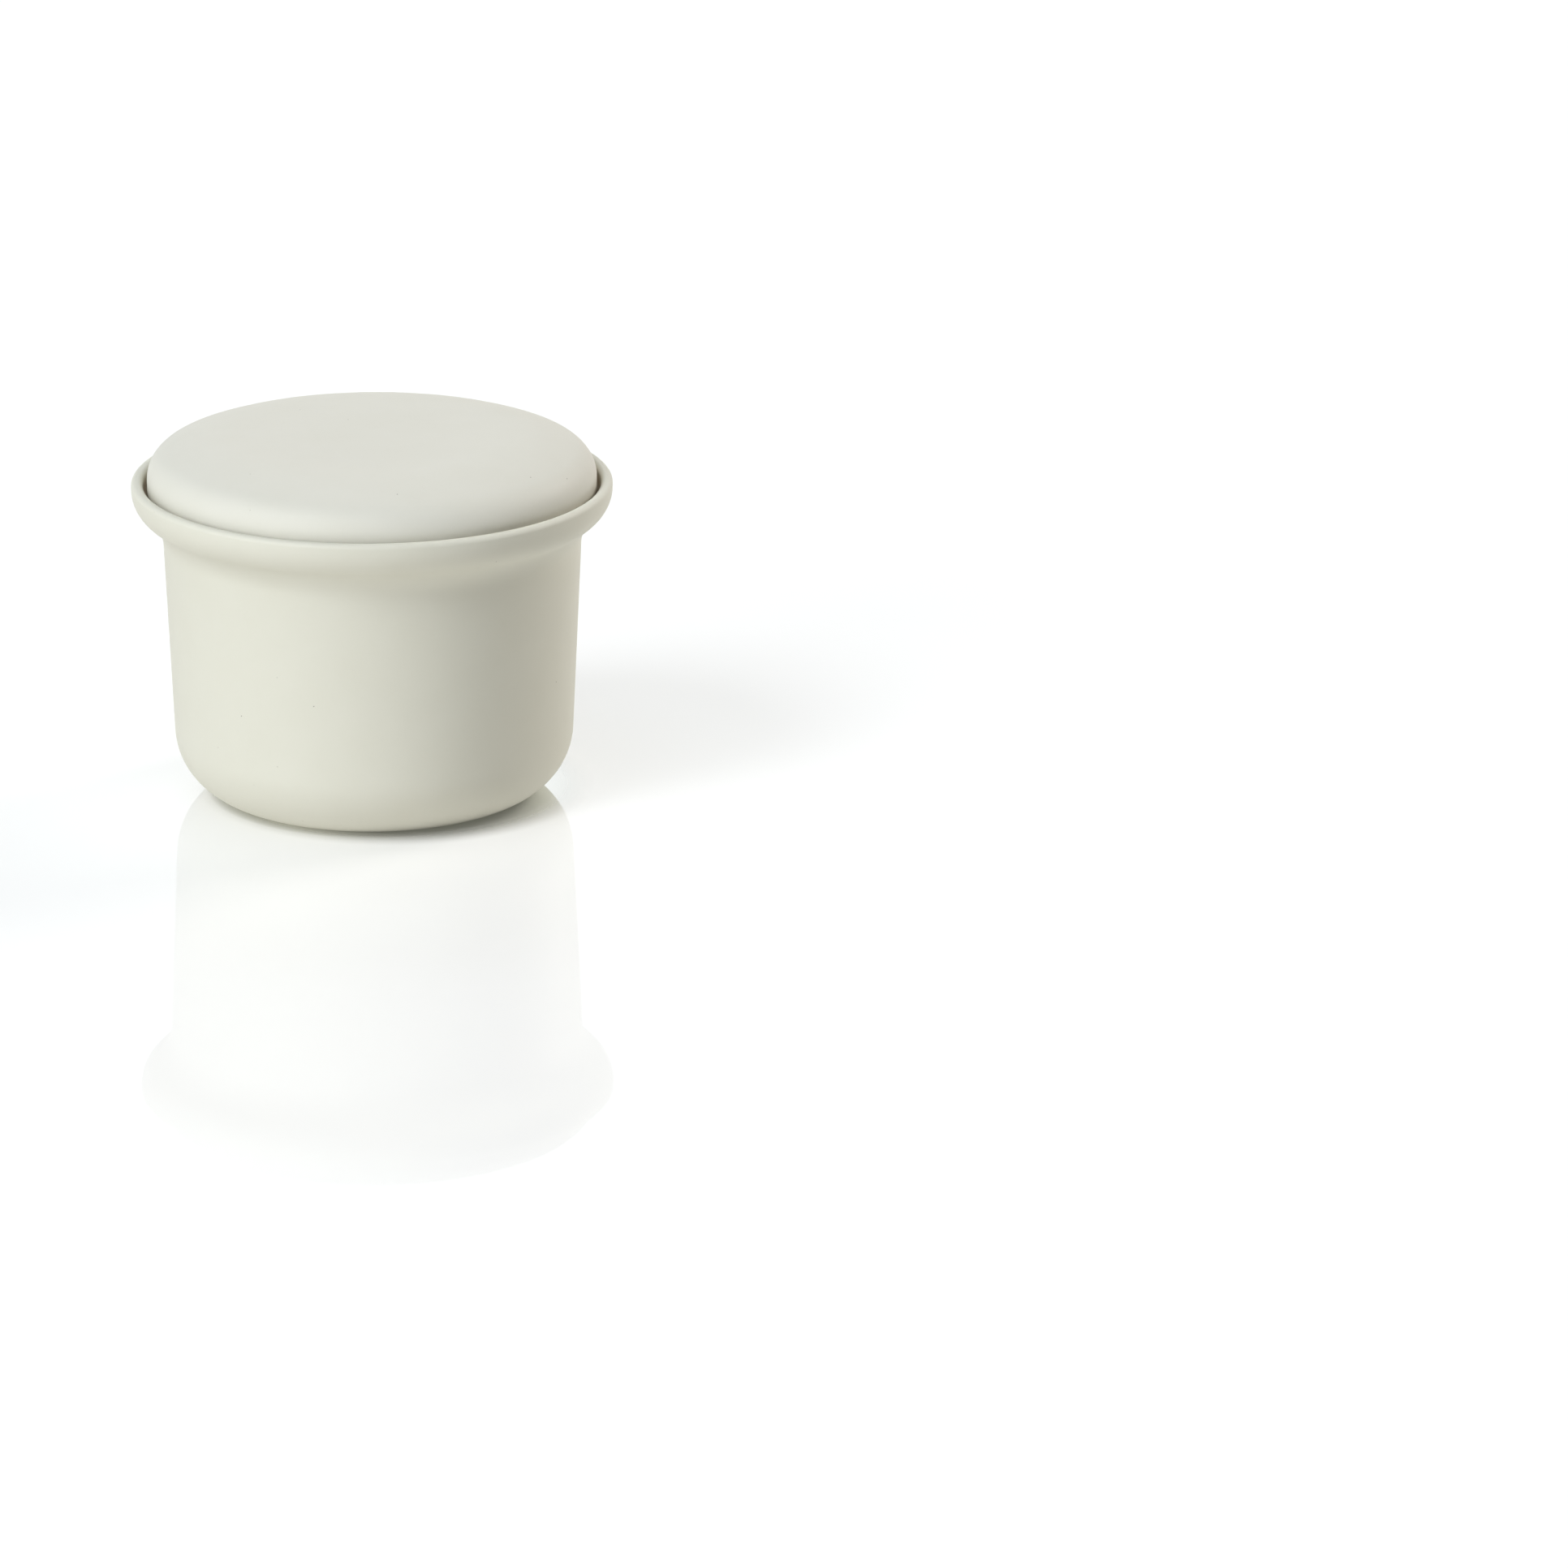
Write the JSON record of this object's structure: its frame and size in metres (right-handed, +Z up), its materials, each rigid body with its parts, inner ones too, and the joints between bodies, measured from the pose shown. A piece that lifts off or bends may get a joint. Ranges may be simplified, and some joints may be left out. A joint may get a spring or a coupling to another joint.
{
  "type": "lidded ceramic box",
  "caption": "Plain round stoneware box of the pyxis kind: tapered bowl with a soft base corner, flared rim, and a knobless pillow-shaped lid that rests on a ledge inside the lip.",
  "frame": {"origin": "on the turning axis, on the surface that the foot ring stands on", "axes": "+Z up along the turning axis, towards the lid; X and Y are alike, because the box is round"},
  "size_m": [0.12, 0.12, 0.0922],
  "materials": {
    "bowl_stoneware": "smooth unglazed matt bone white",
    "lid_stoneware": "smooth unglazed matt bone white"
  },
  "bodies": {
    "bowl": {"bowl": "bowl_stoneware"},
    "lid": {"lid": "lid_stoneware"}
  },
  "joints": [
    {"name": "lid_lift", "type": "slide", "parent": "bowl", "child": "lid", "axis": [0, 0, 1], "range_m": [0, 0.06]}
  ]
}
